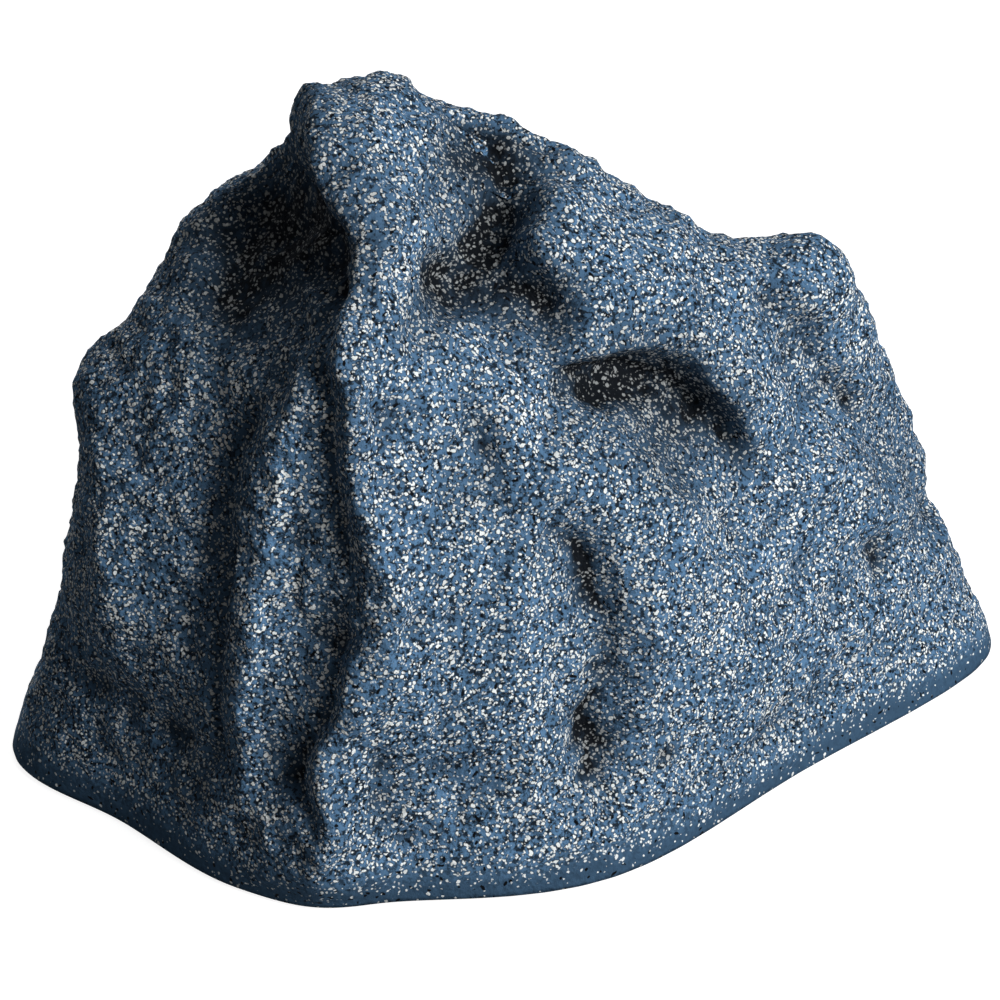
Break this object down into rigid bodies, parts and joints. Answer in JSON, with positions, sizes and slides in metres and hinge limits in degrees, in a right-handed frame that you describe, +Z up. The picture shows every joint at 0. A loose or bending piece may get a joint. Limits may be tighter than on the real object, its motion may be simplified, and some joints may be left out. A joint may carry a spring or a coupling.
{
  "type": "rock shaped garden speaker",
  "caption": "Garden loudspeaker moulded as a dark flecked boulder, with a coaxial driver behind a round grille in its rear face and a screwed base with a cable inlet.",
  "frame": {"origin": "centre of the overall outline in plan, on the surface that the feet stand on", "axes": "+Z up, +X to the right as seen from the blank front of the rock, +Y towards the grille"},
  "size_m": [0.4098, 0.2934, 0.2688],
  "materials": {
    "rock": "moulded stone texture, white and black flecks",
    "panel": "matt black",
    "rubber": "matt",
    "steel": "zinc plated",
    "grille": "satin powder coat",
    "frame": "black paint",
    "cone": "matt",
    "cloth": "resin treated cloth",
    "former": "bare",
    "copper": "enamelled copper wire",
    "ferrite": "matt",
    "housing": "matt black",
    "dome": "coated cloth",
    "board": "solder mask",
    "film": "gloss",
    "cement": "matt",
    "terminal": "matt",
    "lug": "tinned",
    "red_lead": "satin",
    "black_lead": "satin"
  },
  "bodies": {
    "enclosure": {"rock_shell": "rock", "base_panel": "panel", "base_seal": "rubber", "base_screws": "steel", "rubber_feet": "rubber", "foot_screws": "steel", "cable_grommet": "rubber", "grille": "grille", "grille_edging": "rubber", "driver_seal": "rubber", "driver_frame": "frame", "driver_screws": "steel", "surround": "rubber", "spider": "cloth", "top_plate": "steel", "magnet": "ferrite", "yoke": "steel", "terminal_strip": "housing", "terminal_lugs": "lug", "tweeter_stem": "steel", "tweeter_cup": "housing", "tweeter_magnet": "ferrite", "tweeter_dome": "dome", "tweeter_ring": "housing", "crossover_board": "board", "board_screws": "steel", "choke_coil": "copper", "capacitor": "film", "resistor": "cement", "terminal_block": "terminal", "wire_positive": "red_lead", "wire_negative": "black_lead"},
    "diaphragm": {"cone": "cone", "coil_former": "former", "coil_winding": "copper"}
  },
  "joints": [
    {"name": "cone_travel", "type": "slide", "parent": "enclosure", "child": "diaphragm", "axis": [0, 0.9483, 0.3173], "range_m": [-0.004, 0.004], "stiffness_N_per_m": 1500, "deforming": ["surround", "spider"]}
  ]
}
